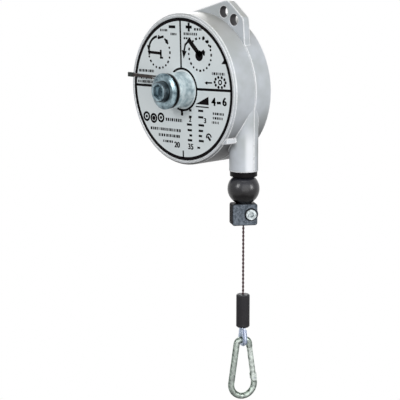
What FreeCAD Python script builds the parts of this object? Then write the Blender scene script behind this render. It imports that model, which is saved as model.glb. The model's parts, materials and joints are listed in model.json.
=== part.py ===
import FreeCAD, Part
# Spring tool balancer: a two-shell aluminium casing with a rope drum and power spring, a ratchet
# adjuster in front, and a load cable with stop ball, clamp, thimble and snap hook.
#
# Frame: millimetres, +Z up, the front faces -Y.  The origin is the centre of the outer suspension
# hole, half way through the lug.  Round casing pieces are drawn about the drum axis with z pointing
# forward from the split plane; cable pieces are drawn about the cable with z up.
import os
import re

import Sketcher
from FreeCAD import Placement, Rotation, Vector

doc = FreeCAD.newDocument("tool_balancer")

SIZES = {
    # casing
    "body_radius": 95, "wall": 4, "front_depth": 34.5, "rear_depth": 30,
    "rim_bevel": 2.5, "seam_bevel": 0.5, "seam_ledge": 1.4, "rear_edge": 3,
    "rear_boss_height": 6, "rear_boss_radius": 15, "journal_wall": 3,
    # printed disc let into the front shell
    "label_margin": 5, "label_recess": 1, "label_thick": 0.5, "label_gap": 0.3,
    # suspension lug; the outer hole is placed from the casing's rim, the inner hole from the outer
    "hole_in": 38, "hole_drop": 7, "hole_radius": 7, "hole_step_out": 17.7, "hole_step_up": 9,
    "lug_thick": 10, "lug_slope_angle": 16.3, "lug_foot_angle": 37.4, "lug_crown": 6,
    "lug_side": 16, "lug_shoulder": 2.5, "crown_round": 12, "shoulder_round": 9,
    # cable outlet tube
    "tube_radius": 18, "tube_length": 97.6, "tube_bore": 12,
    "rib_drop": 37, "rib_thick": 6, "rib_side": 4, "rib_lean": 3, "rib_reach": 33,
    # casing screws, driven from the rear
    "screw_count": 4, "screw_angle": 20, "screw_radius": 2.5, "screw_play": 0.25,
    "screw_head": 4.75, "head_height": 2.8, "head_play": 0.45,
    "head_depth": 3, "head_socket": 3, "head_socket_depth": 1.6, "thread_depth": 14,
    "boss_radius": 5,
    # adjuster
    "collar_radius": 22, "collar_length": 25.5, "collar_bevel": 1, "spigot_radius": 18,
    "arbor_radius": 10, "journal_radius": 8, "core_radius": 17, "tip_radius": 6,
    "running_fit": 0.03, "end_play": 0.3, "tip_proud": 0.4, "centre_radius": 1.3,
    "centre_depth": 3, "core_clear": 1.5, "cap_play": 0.45, "cap_radius": 22.5,
    "cap_rim": 2.5, "cap_bevel": 2,
    "cap_crown": 18.5, "hub_radius": 12.7, "hub_length": 7.5, "hub_neck": 11.3,
    "neck_length": 1.4, "hub_bevel": 0.9, "socket_across": 17, "socket_depth": 6, "wheel_thick": 3, "wheel_root": 14.2, "wheel_crest": 16.5,
    "tooth_count": 15, "tooth_angle": 3, "tooth_sunk": 1,
    # pawl lever
    "pawl_in": 3.7, "pawl_drop": 0.9, "pin_radius": 1.25, "lever_thick": 2.6,
    "lever_reach": 70, "lever_half": 2, "lever_eye": 3, "neck_in": 1.3, "shoulder_out": 8,
    "nose_out": 3, "nose_foot": 4, "nose_back": 6, "nose_clear": 0.6, "nose_height": 2.6,
    "nose_rise": 0.6, "spring_thick": 0.5, "coil_radius": 2.4, "leg_length": 12,
    "leg_width": 0.8, "grip_length": 9, "grip_cover": 0.8, "grip_skin": 0.24,
    # drum; the cable lies flange_height below the edge of the flanges
    "flange_radius": 80.5, "flange_height": 5.5, "flange_play": 1, "cable_radius": 1.5,
    "drum_play": 0.3, "flange_thick": 3, "hub_stand": 2.7, "web_thick": 4, "band_front": 2,
    "cup_room": 5.5, "cup_step": 1.2, "cup_wall": 4, "drum_hub": 17, "drum_hub_front": 5,
    "bush_wall": 2, "cover_thick": 2, "cover_hub": 14, "anchor_radius": 4,
    "anchor_height": 3, "anchor_in": 9,
    # power spring
    "pack_depth": 17.7, "strip_thick": 1, "strip_turns": 3, "spring_play": 0.3,
    # cable guide, stop ball and clamp
    "guide_radius": 17, "guide_flange": 6.4, "guide_depth": 12.6, "guide_bore": 3,
    "rest_gap": 0.3, "ball_radius": 20, "ball_top_cut": 3.9, "ball_foot_cut": 2.3,
    "clamp_width": 32, "clamp_height": 27.8, "clamp_thick": 9, "clamp_gap": 0.3,
    "clamp_corner": 3, "clamp_bevel": 1, "clamp_angle": 58, "bolt_offset": 7.5,
    "swell_radius": 9.5, "bolt_radius": 4, "bolt_head_radius": 6.5, "bolt_head": 5.3,
    "bolt_socket": 6, "bolt_socket_depth": 4, "head_sunk": 2.5, "head_room": 0.9,
    "nut_across": 13, "nut_height": 6.5, "nut_sunk": 4, "bolt_beyond": 1,
    # cable end
    "free_cable": 89.7, "sleeve_radius": 8.5, "sleeve_bore": 6.6, "sleeve_roof": 4,
    "sleeve_bevel": 1.2, "sleeve_clear": 10.1, "ferrule_radius": 5.8, "ferrule_sunk": 9.7, "ferrule_length": 24,
    "ferrule_grip": 12, "loop_rise": 24.3, "eye_radius": 5.5, "leg_gap": 2.6,
    "thimble_wall": 1.2, "thimble_lip": 3.2, "thimble_width": 5, "groove_width": 3.1,
    "thimble_leg": 11,
    # snap hook
    "hook_angle": 68, "wire_radius": 4, "hook_length": 82, "hook_width": 39.5,
    "crown_radius": 6, "crown_half": 2.5, "hook_play": 0.3, "nose_length": 5,
    "tongue_root": 1, "tongue_thick": 3, "tongue_half": 3.4, "pivot_up": 4.5,
    "rivet_radius": 1.5, "cheek_thick": 2, "cheek_gap": 0.15, "cheek_half": 3.4,
    "gate_radius": 3.6, "gate_start": 6, "gate_gap": 0.5, "gate_bore": 1.4,
    "gate_spring": 12, "coil_play": 0.1, "cheek_sunk": 1,
    # how far a cut runs past the face it opens
    "overrun": 1,
}

sheet = doc.addObject("Spreadsheet::Sheet", "sizes")
for row, (alias, number) in enumerate(SIZES.items(), start=1):
    sheet.set(f"A{row}", alias.replace("_", " "))
    sheet.set(f"B{row}", str(number))
    sheet.setAlias(f"B{row}", alias)
doc.recompute()


# ---------------------------------------------------------------- helpers

def linked(text):
    """The same formula with every size name pointing at the sheet."""
    return re.sub(r"[a-z_]+", lambda m: "sizes." + m[0] if m[0] in SIZES else m[0], str(text))


def value(text):
    """What a formula of size names comes to."""
    return float(sheet.evalExpression(str(text)))


def bind(item, prop, text):
    item.setExpression(prop, linked(text))


def size(item, **formulas):
    """Bind the properties of a primitive, and its place as x, y and z."""
    for prop, text in formulas.items():
        if prop in ("x", "y", "z"):
            prop = ".Placement.Base." + prop
        bind(item, prop, text)
    return item


def on_drum_axis(item):
    """Place a piece drawn about the drum axis, z forward from the split plane."""
    item.Placement = Placement(Vector(), Rotation(Vector(1, 0, 0), 90))
    return size(item, x=f"-{HOLE_OUT}", y="-lug_thick / 2", z=f"-{HOLE_UP}")


def on_cable(item, turn=None):
    """Place a piece drawn about the cable, z up from the height of the drum axis."""
    item.Placement = Placement(Vector(), Rotation(Vector(0, 0, 1), value(turn) if turn else 0))
    if turn:
        bind(item, ".Placement.Rotation.Angle", turn)
    return size(item, x=f"{PITCH} - {HOLE_OUT}", y="-lug_thick / 2", z=f"-{HOLE_UP}")


def body(label):
    item = doc.addObject("PartDesign::Body", label)
    item.Label = label
    return item


def plane(owner, role):
    return next(o for o in owner.Origin.OriginFeatures if o.Role == role)


def sketch(owner, role, offset=None):
    """A sketch on one of the body's own origin planes, moved along its normal by offset."""
    item = owner.newObject("Sketcher::SketchObject", "outline")
    item.AttachmentSupport = [(plane(owner, role), "")]
    item.MapMode = "FlatFace"
    if offset is not None:
        bind(item, ".AttachmentOffset.Base.z", offset)
    return item


def pin(item, edge, point, corner):
    """Hold one point of a sketch at its two formulas."""
    for kind, text in zip(("DistanceX", "DistanceY"), corner):
        number = item.addConstraint(Sketcher.Constraint(kind, edge, point, value(text)))
        bind(item, f"Constraints[{number}]", text)


def spot(corner):
    return Vector(value(corner[0]), value(corner[1]), 0)


def closed(item, corners):
    """A closed outline of straight edges through corners given as formula pairs."""
    first, count = item.GeometryCount, len(corners)
    for k in range(count):
        item.addGeometry(Part.LineSegment(spot(corners[k]), spot(corners[(k + 1) % count])))
    for k in range(count):
        after = first + (k + 1) % count
        item.addConstraint(Sketcher.Constraint("Coincident", first + k, 2, after, 1))
    for k in range(count):
        pin(item, first + k, 1, corners[k])
    return item


def disc(item, radius, x="0", y="0"):
    """A full circle in a sketch."""
    edge = item.addGeometry(Part.Circle(spot((x, y)), Vector(0, 0, 1), value(radius)))
    number = item.addConstraint(Sketcher.Constraint("Radius", edge, value(radius)))
    bind(item, f"Constraints[{number}]", radius)
    pin(item, edge, 3, (x, y))
    return item


def half_disc(item, radius, x, side):
    """Half a disc standing on the horizontal axis of the sketch, above it for side 1."""
    reach = value(radius)
    centre = spot((x, "0"))
    start, end = (0, 180) if side > 0 else (180, 360)
    turn = Part.Circle(centre, Vector(0, 0, 1), reach)
    arc = item.addGeometry(Part.ArcOfCircle(turn, radians(start), radians(end)))
    right, left = centre + Vector(reach, 0, 0), centre - Vector(reach, 0, 0)
    first, last = (right, left) if side > 0 else (left, right)
    base = item.addGeometry(Part.LineSegment(last, first))
    item.addConstraint(Sketcher.Constraint("Coincident", arc, 2, base, 1))
    item.addConstraint(Sketcher.Constraint("Coincident", arc, 1, base, 2))
    pin(item, arc, 3, (x, "0"))
    sign = 1 if side > 0 else -1
    pin(item, base, 2, (f"{x} + {sign} * ({radius})", "0"))
    level = Sketcher.Constraint("PointOnObject", base, 1, -1)
    item.addConstraint(level)
    return item


def radians(degrees):
    return degrees * 3.141592653589793 / 180


def feature(owner, kind, profile, **formulas):
    item = owner.newObject("PartDesign::" + kind, kind.lower())
    item.Profile = profile
    for prop, text in formulas.items():
        bind(item, prop, text)
    return item


def revolve(owner, corners, kind="Revolution"):
    """Turn a profile of (radius, height) corners about the body's z axis."""
    outline = closed(sketch(owner, "XZ_Plane"), corners)
    item = feature(owner, kind, outline)
    item.ReferenceAxis = (outline, ["V_Axis"])
    item.Angle = 360
    return item


def turned(label, corners):
    item = body(label)
    revolve(item, corners)
    return item


def pad(owner, outline, length, back=False):
    item = feature(owner, "Pad", outline, Length=length)
    item.Reversed = back
    return item


def pocket(owner, outline, length, along=False):
    """Cut against the sketch's normal, or along it."""
    item = feature(owner, "Pocket", outline, Length=length)
    item.Reversed = along
    return item


def around(owner, originals, count):
    """Repeat features round the body's z axis."""
    item = owner.newObject("PartDesign::PolarPattern", "pattern")
    item.Originals = originals
    item.Axis = (plane(owner, "Z_Axis"), [""])
    item.Angle = 360
    bind(item, "Occurrences", count)
    owner.Tip = item
    return item


def round_edges(owner, radius, wanted, kind="Fillet"):
    """Fillet or chamfer the edges of the body's last feature that wanted() picks."""
    doc.recompute()
    base = owner.Tip
    names = [f"Edge{k + 1}" for k, e in enumerate(base.Shape.Edges) if wanted(e)]
    item = owner.newObject("PartDesign::" + kind, kind.lower())
    item.Base = (base, names)
    bind(item, "Radius" if kind == "Fillet" else "Size", radius)
    return item


def upright_at(corner):
    """Whether an edge runs along z through the given point."""
    x, y = value(corner[0]), value(corner[1])

    def wanted(edge):
        box = edge.BoundBox
        flat = box.XLength < 1e-3 and box.YLength < 1e-3
        return flat and abs(box.XMin - x) < 1e-3 and abs(box.YMin - y) < 1e-3

    return wanted


def hexagon(across):
    """Corners of a hexagon with flats left and right."""
    reach = f"({across}) / sqrt(3)"
    return [(f"{reach} * cos({60 * k + 30})", f"{reach} * sin({60 * k + 30})") for k in range(6)]


def shifted(corners, x, y):
    return [(f"{a} + ({x})", f"{b} + ({y})") for a, b in corners]


def solid(kind, name, **formulas):
    """A Part primitive with its sizes and place bound to the sheet."""
    return size(doc.addObject("Part::" + kind, name), **formulas)


def cut(label, base, tool):
    item = doc.addObject("Part::Cut", label)
    item.Label = label
    item.Base = base
    item.Tool = tool
    return item


# ---------------------------------------------------------------- places set by the sizes

HOLE_OUT = "(body_radius - hole_in)"
HOLE_UP = "(body_radius - hole_drop)"
PITCH = "(flange_radius - flange_height)"
SCREW_CIRCLE = "(flange_radius + flange_play + boss_radius)"
SCREW_SPOT = (f"{SCREW_CIRCLE} * cos(screw_angle)", f"{SCREW_CIRCLE} * sin(screw_angle)")
DRUM_CORE = f"({PITCH} - cable_radius - drum_play)"
CUP_OUTER = f"({DRUM_CORE} - cup_step)"
CUP_INNER = f"({CUP_OUTER} - cup_wall)"
PAWL_OUT = "(wheel_crest - pawl_in)"
PAWL_UP = "(wheel_crest - pawl_drop)"

# heights along the drum axis
LABEL_SEAT = "(front_depth - label_recess)"
FRONT_INSIDE = f"({LABEL_SEAT} - wall)"
REAR_INSIDE = "(rear_depth - wall)"
REAR_BOSS = f"({REAR_INSIDE} - rear_boss_height)"
CAVITY = "(body_radius - wall)"
LABEL_RADIUS = "(body_radius - label_margin)"
COLLAR_FACE = f"({LABEL_SEAT} + collar_length)"
PAWL_BACK = f"({COLLAR_FACE} + end_play)"
COIL_BACK = f"({PAWL_BACK} + lever_thick + end_play / 2)"
CAP_BACK = f"({COIL_BACK} + spring_thick + cap_play)"
CAP_FRONT = f"({CAP_BACK} + cap_rim + cap_bevel + hub_length)"
SOCKET_FLOOR = f"({CAP_FRONT} - socket_depth)"
DRUM_REAR = f"({REAR_BOSS} - end_play)"
DRUM_BACK = f"({DRUM_REAR} - hub_stand)"
WEB_FRONT = f"({DRUM_BACK} - web_thick)"
CUP_FRONT = f"({FRONT_INSIDE} - cup_room)"
BUSH_RADIUS = "(arbor_radius + bush_wall)"
ARBOR_BORE = "(arbor_radius + running_fit)"


# ---------------------------------------------------------------- casing

def outlet_tube(owner, side):
    """Half of the outlet tube, in front of the split plane for side 1, behind it for side -1."""
    outline = half_disc(sketch(owner, "XZ_Plane"), "tube_radius", PITCH, side)
    pad(owner, outline, "tube_length")


def outlet_bore(owner):
    outline = disc(sketch(owner, "XZ_Plane"), "tube_bore", PITCH)
    pocket(owner, outline, "tube_length + overrun", along=True)


def front_housing():
    item = body("front_housing")
    revolve(item, [("0", "0"), ("body_radius - seam_bevel", "0"), ("body_radius", "seam_bevel"),
                   ("body_radius", "front_depth - rim_bevel"),
                   ("body_radius - rim_bevel", "front_depth"), (LABEL_RADIUS, "front_depth"),
                   (LABEL_RADIUS, LABEL_SEAT), ("0", LABEL_SEAT)])
    outlet_tube(item, 1)
    near, far = f"{PITCH} - tube_radius", f"{PITCH} + rib_side"
    top = "-(body_radius - rib_drop)"
    rib = [(near, f"{top} - rib_thick"), (far, f"{top} - rib_thick + rib_lean"),
           (far, f"{top} + rib_lean"), (near, top)]
    pad(item, closed(sketch(item, "XY_Plane"), rib), "rib_reach")
    revolve(item, [("0", "0"), (CAVITY, "0"), (CAVITY, FRONT_INSIDE),
                   ("spigot_radius", FRONT_INSIDE), ("spigot_radius", "front_depth"),
                   ("0", "front_depth")], "Groove")
    boss = pad(item, disc(sketch(item, "XY_Plane"), "boss_radius", *SCREW_SPOT),
               f"{FRONT_INSIDE} + wall / 2")
    around(item, [boss], "screw_count")
    thread = pocket(item, disc(sketch(item, "XY_Plane"), "screw_radius", *SCREW_SPOT),
                    "thread_depth + overrun", along=True)
    around(item, [thread], "screw_count")
    outlet_bore(item)
    return on_drum_axis(item)


def lug_outline():
    """The lug: a straight rise off the casing, a crown, and a shoulder beside the outer hole."""
    start = ("-body_radius * sin(lug_slope_angle)", "body_radius * cos(lug_slope_angle)")
    crown = f"({HOLE_OUT} - hole_step_out + lug_crown)"
    rise = f"{start[1]} + ({crown} - ({start[0]})) * tan(lug_slope_angle)"
    shoulder = (f"{HOLE_OUT} + lug_side", f"{HOLE_UP} + lug_shoulder")
    foot = ("body_radius * cos(lug_foot_angle)", "body_radius * sin(lug_foot_angle)")
    return [start, ("0", "0"), foot, shoulder, (crown, rise)]


def rear_housing():
    item = body("rear_housing")
    revolve(item, [("0", "0"), ("body_radius - seam_ledge", "0"),
                   ("body_radius", "-seam_ledge"), ("body_radius", "-(rear_depth - rear_edge)"),
                   ("body_radius - rear_edge", "-rear_depth"), ("0", "-rear_depth")])
    corners = lug_outline()
    pad(item, closed(sketch(item, "XY_Plane"), corners), "lug_thick", back=True)
    round_edges(item, "crown_round", upright_at(corners[4]))
    round_edges(item, "shoulder_round", upright_at(corners[3]))
    outlet_tube(item, -1)
    seat = f"{ARBOR_BORE} - arbor_radius + journal_radius"
    revolve(item, [("0", "0"), (CAVITY, "0"), (CAVITY, f"-{REAR_INSIDE}"),
                   ("rear_boss_radius", f"-{REAR_INSIDE}"), ("rear_boss_radius", f"-{REAR_BOSS}"),
                   (seat, f"-{REAR_BOSS}"), (seat, "-(rear_depth - journal_wall)"),
                   ("0", "-(rear_depth - journal_wall)")], "Groove")
    boss = pad(item, disc(sketch(item, "XY_Plane"), "boss_radius", *SCREW_SPOT),
               f"{REAR_INSIDE} + wall / 4", back=True)
    around(item, [boss], "screw_count")
    hole = pocket(item, disc(sketch(item, "XY_Plane"), "screw_radius + screw_play", *SCREW_SPOT),
                  "rear_depth + overrun")
    around(item, [hole], "screw_count")
    sink = pocket(item, disc(sketch(item, "XY_Plane", "-rear_depth"), "screw_head + head_play",
                             *SCREW_SPOT), "head_depth", along=True)
    around(item, [sink], "screw_count")
    outlet_bore(item)
    outer = disc(sketch(item, "XY_Plane"), "hole_radius", HOLE_OUT, HOLE_UP)
    pocket(item, outer, "lug_thick + overrun")
    inner = disc(sketch(item, "XY_Plane"), "hole_radius", f"{HOLE_OUT} - hole_step_out",
                 f"{HOLE_UP} + hole_step_up")
    pocket(item, inner, "lug_thick + overrun")
    return on_drum_axis(item)


def label_plate():
    item = body("label_plate")
    outline = disc(sketch(item, "XY_Plane", LABEL_SEAT), f"{LABEL_RADIUS} - label_gap")
    disc(outline, "collar_radius + label_gap")
    pad(item, outline, "label_thick")
    return on_drum_axis(item)


def housing_screws():
    """Socket screws in the rear counterbores, one body of four."""
    item = body("housing_screws")
    item.AllowCompound = True
    seat = "-(rear_depth - head_depth)"
    shank = pad(item, disc(sketch(item, "XY_Plane", seat), "screw_radius", *SCREW_SPOT),
                "rear_depth - head_depth + thread_depth")
    head = pad(item, disc(sketch(item, "XY_Plane", seat), "screw_head", *SCREW_SPOT),
               "head_height", back=True)
    drive = pocket(item, closed(sketch(item, "XY_Plane", f"{seat} - head_height"),
                                shifted(hexagon("head_socket"), *SCREW_SPOT)),
                   "head_socket_depth", along=True)
    around(item, [shank, head, drive], "screw_count")
    return on_drum_axis(item)


# ---------------------------------------------------------------- adjuster

def boss_collar():
    return on_drum_axis(turned("boss_collar", [
        (ARBOR_BORE, FRONT_INSIDE), ("spigot_radius", FRONT_INSIDE),
        ("spigot_radius", LABEL_SEAT), ("collar_radius", LABEL_SEAT),
        ("collar_radius", f"{COLLAR_FACE} - collar_bevel"),
        ("collar_radius - collar_bevel", COLLAR_FACE), (ARBOR_BORE, COLLAR_FACE)]))


def arbor():
    """Stepped shaft: rear journal, drum seat, spring core, collar seat and cap tip."""
    rear = "-(rear_depth - journal_wall - end_play)"
    core_back = "-(drum_hub_front - end_play)"
    core_front = f"{CUP_FRONT} - core_clear"
    tip = f"{SOCKET_FLOOR} + tip_proud"
    return on_drum_axis(turned("arbor", [
        ("0", rear), ("journal_radius", rear), ("journal_radius", f"-{DRUM_REAR}"),
        ("arbor_radius", f"-{DRUM_REAR}"), ("arbor_radius", core_back),
        ("core_radius", core_back), ("core_radius", core_front), ("arbor_radius", core_front),
        ("arbor_radius", CAP_BACK), ("tip_radius", CAP_BACK), ("tip_radius", tip),
        ("centre_radius", tip), ("0", f"{tip} - centre_depth")]))


def ratchet_wheel():
    """Saw-tooth wheel on the arbor, its steep flanks facing the pawl."""
    item = body("ratchet_wheel")
    pad(item, disc(sketch(item, "XY_Plane", PAWL_BACK), "wheel_root"), "wheel_thick")
    step = "(360 / tooth_count)"
    inside = "(wheel_root - tooth_sunk)"
    tooth = [(inside, "0"), (f"{inside} * cos({step})", f"{inside} * sin({step})"),
             (f"wheel_root * cos({step})", f"wheel_root * sin({step})"),
             ("wheel_crest * cos(tooth_angle)", "wheel_crest * sin(tooth_angle)"),
             ("wheel_root", "0")]
    one = pad(item, closed(sketch(item, "XY_Plane", PAWL_BACK), tooth), "wheel_thick")
    around(item, [one], "tooth_count")
    bore = disc(sketch(item, "XY_Plane", PAWL_BACK), "arbor_radius")
    pocket(item, bore, "wheel_thick + overrun", along=True)
    return on_drum_axis(item)


def adjuster_cap():
    """Bevelled disc with a necked hub and a hexagon socket for the winding key."""
    face = f"{CAP_BACK} + cap_rim + cap_bevel"
    item = turned("adjuster_cap", [
        ("tip_radius", CAP_BACK), ("cap_radius", CAP_BACK), ("cap_radius", f"{CAP_BACK} + cap_rim"),
        ("cap_crown", face), ("hub_neck", face), ("hub_neck", f"{face} + neck_length"),
        ("hub_radius", f"{face} + neck_length"), ("hub_radius", f"{CAP_FRONT} - hub_bevel"),
        ("hub_radius - hub_bevel", CAP_FRONT), ("tip_radius", CAP_FRONT)])
    outline = closed(sketch(item, "XY_Plane", CAP_FRONT), hexagon("socket_across"))
    pocket(item, outline, "socket_depth")
    return on_drum_axis(item)


# ---------------------------------------------------------------- pawl

def pawl_pin():
    item = body("pawl_pin")
    outline = disc(sketch(item, "XY_Plane", COLLAR_FACE), "pin_radius", f"-{PAWL_OUT}", PAWL_UP)
    pad(item, outline, f"{CAP_BACK} - {COLLAR_FACE} - end_play")
    return on_drum_axis(item)


def pawl_lever():
    """Flat lever on the collar face: nose over the ratchet wheel, long tail to the left."""
    item = body("pawl_lever")
    crest = "(wheel_crest + nose_clear)"
    low, high = f"{PAWL_UP} - lever_half", f"{PAWL_UP} + lever_half"
    corners = [
        ("-lever_reach", low), (f"-({PAWL_OUT} - neck_in)", low), ("-nose_foot", crest),
        ("nose_out", crest), ("nose_out", f"{crest} + nose_height"),
        ("-nose_back", f"{crest} + nose_height + nose_rise"),
        (f"-{PAWL_OUT}", f"{PAWL_UP} + lever_eye"), (f"-({PAWL_OUT} + shoulder_out)", high),
        ("-lever_reach", high)]
    pad(item, closed(sketch(item, "XY_Plane", PAWL_BACK), corners), "lever_thick")
    hole = disc(sketch(item, "XY_Plane", PAWL_BACK), "pin_radius + running_fit",
                f"-{PAWL_OUT}", PAWL_UP)
    pocket(item, hole, "lever_thick + overrun", along=True)
    return on_drum_axis(item)


def lever_grip():
    """Sleeve over the tail of the lever."""
    half = "(lever_half + grip_cover)"
    outside = solid("Box", "grip_outside", Length="grip_length", Width=f"2 * {half}",
                    Height="lever_thick + 2 * grip_skin", x="-lever_reach - grip_cover",
                    y=f"{PAWL_UP} - {half}", z=f"{PAWL_BACK} - grip_skin")
    inside = solid("Box", "grip_inside", Length="grip_length", Width="2 * lever_half",
                   Height="lever_thick", x="-lever_reach", y=f"{PAWL_UP} - lever_half",
                   z=PAWL_BACK)
    return on_drum_axis(cut("lever_grip", outside, inside))


def pawl_spring():
    """Flat torsion spring round the pin, with a leg along the lever."""
    item = body("pawl_spring")
    outline = disc(sketch(item, "XY_Plane", COIL_BACK), "coil_radius", f"-{PAWL_OUT}", PAWL_UP)
    disc(outline, "pin_radius", f"-{PAWL_OUT}", PAWL_UP)
    pad(item, outline, "spring_thick")
    start = f"-{PAWL_OUT} - (coil_radius + pin_radius) / 2"
    end = f"-{PAWL_OUT} - leg_length"
    leg = [(start, f"{PAWL_UP} - leg_width / 2"), (start, f"{PAWL_UP} + leg_width / 2"),
           (end, f"{PAWL_UP} + leg_width / 2"), (end, f"{PAWL_UP} - leg_width / 2")]
    pad(item, closed(sketch(item, "XY_Plane", COIL_BACK), leg), "spring_thick")
    return on_drum_axis(item)


# ---------------------------------------------------------------- drum

def drum():
    back, edge = f"-{DRUM_BACK}", f"-({DRUM_BACK} - flange_thick)"
    return on_drum_axis(turned("drum", [
        (BUSH_RADIUS, f"-{DRUM_REAR}"), ("drum_hub", f"-{DRUM_REAR}"), ("drum_hub", back),
        ("flange_radius", back), ("flange_radius", edge), (DRUM_CORE, edge),
        (DRUM_CORE, "band_front"), ("flange_radius", "band_front"),
        ("flange_radius", "band_front + flange_thick"), (CUP_OUTER, "band_front + flange_thick"),
        (CUP_OUTER, CUP_FRONT), (CUP_INNER, CUP_FRONT), (CUP_INNER, f"-{WEB_FRONT}"),
        ("drum_hub", f"-{WEB_FRONT}"), ("drum_hub", "-drum_hub_front"),
        (BUSH_RADIUS, "-drum_hub_front")]))


def drum_bush():
    return on_drum_axis(turned("drum_bush", [
        (ARBOR_BORE, f"-{DRUM_REAR}"), (BUSH_RADIUS, f"-{DRUM_REAR}"),
        (BUSH_RADIUS, "-drum_hub_front"), (ARBOR_BORE, "-drum_hub_front")]))


def spring_cover():
    """Disc that closes the spring cup and centres the drum on the arbor."""
    hub_end = f"{FRONT_INSIDE} - end_play"
    return on_drum_axis(turned("spring_cover", [
        (ARBOR_BORE, CUP_FRONT), (CUP_OUTER, CUP_FRONT),
        (CUP_OUTER, f"{CUP_FRONT} + cover_thick"), ("cover_hub", f"{CUP_FRONT} + cover_thick"),
        ("cover_hub", hub_end), (ARBOR_BORE, hub_end)]))


def cable_wound():
    """The stored turns of cable, side by side on the drum."""
    outside = f"{DRUM_CORE} + 2 * cable_radius"
    back, front = f"-({DRUM_BACK} - flange_thick)", "-(cable_radius + drum_play)"
    return on_drum_axis(turned("cable_wound", [
        (DRUM_CORE, back), (outside, back), (outside, front), (DRUM_CORE, front)]))


def cable_anchor():
    """Button on the rear of the drum that holds the cable's inner end."""
    item = body("cable_anchor")
    outline = disc(sketch(item, "XY_Plane", f"-{DRUM_BACK}"), "anchor_radius",
                   f"{PITCH} - anchor_in")
    pad(item, outline, "anchor_height", back=True)
    return on_drum_axis(item)


def power_spring():
    """Steel strip: packed turns against the cup and a few open turns in to the arbor core."""
    thick, play = value("strip_thick"), value("spring_play")
    low = -value(WEB_FRONT) + play
    high = value(CUP_FRONT) - play
    pack_out = value(CUP_INNER) - play
    pack_in = pack_out - value("pack_depth")
    pack = Part.makeCylinder(pack_out, high - low, Vector(0, 0, low))
    pack = pack.cut(Part.makeCylinder(pack_in, high - low, Vector(0, 0, low)))
    turns = int(value("strip_turns"))
    outer, inner = pack_in + thick / 2, value("core_radius") + play + thick / 2
    reach = [outer + (inner - outer) * k / turns for k in range(turns + 1)]
    strips = []
    for k in range(turns):
        side = 1 if k % 2 == 0 else -1
        shift, radius = side * (reach[k] - reach[k + 1]) / 2, (reach[k] + reach[k + 1]) / 2
        strip = half_strip(Vector(shift, 0, low), radius, thick, side)
        strips.append(strip.extrude(Vector(0, 0, high - low)))
    item = doc.addObject("Part::Feature", "power_spring")
    item.Label = "power_spring"
    item.Shape = pack.fuse(strips).removeSplitter()
    return on_drum_axis(item)


def half_strip(centre, radius, thick, side):
    """A half ring of the strip's thickness, above the x axis for side 1, below for side -1."""
    start, end = (0, 180) if side > 0 else (180, 360)
    arcs = [Part.makeCircle(radius + step, centre, Vector(0, 0, 1), start, end)
            for step in (thick / 2, -thick / 2)]
    ends = [Part.makeLine(arcs[0].Vertexes[k].Point, arcs[1].Vertexes[k].Point) for k in (0, 1)]
    return Part.Face(Part.Wire(Part.__sortEdges__(arcs + ends)))


# ---------------------------------------------------------------- cable line

GUIDE_END = "(tube_length + guide_flange)"
BALL_TOP = f"({GUIDE_END} + rest_gap)"
BALL_CENTRE = f"({BALL_TOP} + ball_radius - ball_top_cut)"
CLAMP_TOP = f"({BALL_CENTRE} + ball_radius - ball_foot_cut)"
CLAMP_END = f"({CLAMP_TOP} + clamp_height)"
CLAMP_MIDDLE = f"-({CLAMP_TOP} + clamp_height / 2)"
SLEEVE_TOP = f"({CLAMP_END} + free_cable)"
FERRULE_TOP = f"({SLEEVE_TOP} + ferrule_sunk)"
FERRULE_END = f"({FERRULE_TOP} + ferrule_length)"
EYE_DROP = f"({FERRULE_END} + loop_rise)"
SLEEVE_END = f"({EYE_DROP} - eye_radius - sleeve_clear)"


def cable_guide():
    """Black wear bush pressed into the end of the outlet tube."""
    return on_cable(turned("cable_guide", [
        ("guide_bore", "-(tube_length - guide_depth)"), ("tube_bore", "-(tube_length - guide_depth)"),
        ("tube_bore", "-tube_length"), ("guide_radius", "-tube_length"),
        ("guide_radius", f"-{GUIDE_END}"), ("guide_bore", f"-{GUIDE_END}")]))


def straight_cable(label, top, bottom):
    item = solid("Cylinder", label, Radius="cable_radius", Height=f"{bottom} - {top}")
    item.Label = label
    item = on_cable(item)
    bind(item, ".Placement.Base.z", f"-{HOLE_UP} - ({bottom})")
    return item


def cable_run():
    """Cable from the drum down to the top of the stop ball."""
    return straight_cable("cable_run", "0", BALL_TOP)


def cable_tail():
    """Cable through ball and clamp into the ferrule."""
    return straight_cable("cable_tail", BALL_TOP, f"({FERRULE_TOP} + ferrule_grip)")


def bumper_ball():
    """Rubber stop ball, flat above and below, bored for the cable."""
    item = body("bumper_ball")
    top, bottom = f"-{BALL_TOP}", f"-{CLAMP_TOP}"
    rim = ("sqrt(ball_radius ^ 2 - (ball_radius - ball_top_cut) ^ 2)", top)
    foot = ("sqrt(ball_radius ^ 2 - (ball_radius - ball_foot_cut) ^ 2)", bottom)
    first = -value("asin(1 - ball_foot_cut / ball_radius)")
    last = value("asin(1 - ball_top_cut / ball_radius)")
    round_side = (("0", f"-{BALL_CENTRE}"), "ball_radius", first, last)
    outline = trace(sketch(item, "XZ_Plane"), [
        (foot, rim, round_side), (rim, ("cable_radius", top), None),
        (("cable_radius", top), ("cable_radius", bottom), None),
        (("cable_radius", bottom), foot, None)])
    turn = feature(item, "Revolution", outline)
    turn.ReferenceAxis = (outline, ["V_Axis"])
    turn.Angle = 360
    return on_cable(item)


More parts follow.
